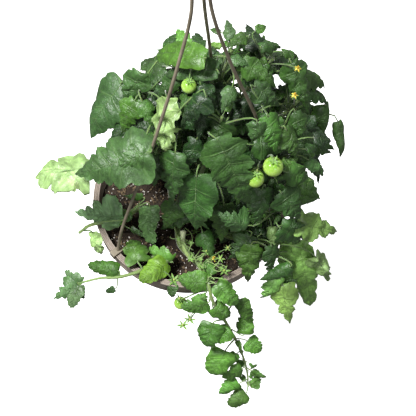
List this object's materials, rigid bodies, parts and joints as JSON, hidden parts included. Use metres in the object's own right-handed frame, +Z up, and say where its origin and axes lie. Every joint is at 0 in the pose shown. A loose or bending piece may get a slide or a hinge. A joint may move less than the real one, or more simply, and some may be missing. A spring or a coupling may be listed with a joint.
{
  "type": "cherry tomato plant in a hanging pot",
  "caption": "Bushy trailing cherry tomato plant with green fruit and yellow flowers, growing in a round plastic hanging pot with a three-strand clip-on hanger and hook.",
  "frame": {"origin": "the point inside the hanger's hook where it rests on what it hangs from", "axes": "+Z up along the pot's axis, -Y towards the front of the pot, +X to its right"},
  "size_m": [0.3881, 0.4298, 0.7573],
  "materials": {
    "pot_plastic": "taupe brown moulded polypropylene, satin",
    "hanger_plastic": "dark brown moulded polypropylene, satin",
    "soil": "damp potting mix with bark and white perlite, rough",
    "leaf": "tomato leaf and stem, softly hairy, matt with a faint sheen",
    "fruit": "unripe cherry tomato skin, smooth and glossy",
    "petal": "yellow tomato flower petal, soft and matt"
  },
  "bodies": {
    "root": {"pot": "pot_plastic", "hanger_crown": "hanger_plastic", "hanger_strand_left": "hanger_plastic", "hanger_strand_right": "hanger_plastic", "hanger_strand_back": "hanger_plastic", "soil": "soil", "stem_left_high": "leaf", "stem_left_back": "leaf", "stem_centre_left": "leaf", "stem_back_left": "leaf", "stem_top": "leaf", "stem_back_right": "leaf", "stem_right_top": "leaf", "stem_centre": "leaf", "stem_right": "leaf", "stem_right_low": "leaf", "stem_front_right": "leaf", "stem_back_low": "leaf", "stem_right_back": "leaf", "stem_left_low": "leaf", "stem_left_vine": "leaf", "stem_front_vine": "leaf", "tomato_1": "fruit", "tomato_2": "fruit", "tomato_3": "fruit", "tomato_4": "fruit", "tomato_5": "fruit", "tomato_6": "fruit", "tomato_7": "fruit", "flower_1": "petal", "flower_2": "petal", "flower_3": "petal"}
  },
  "joints": []
}
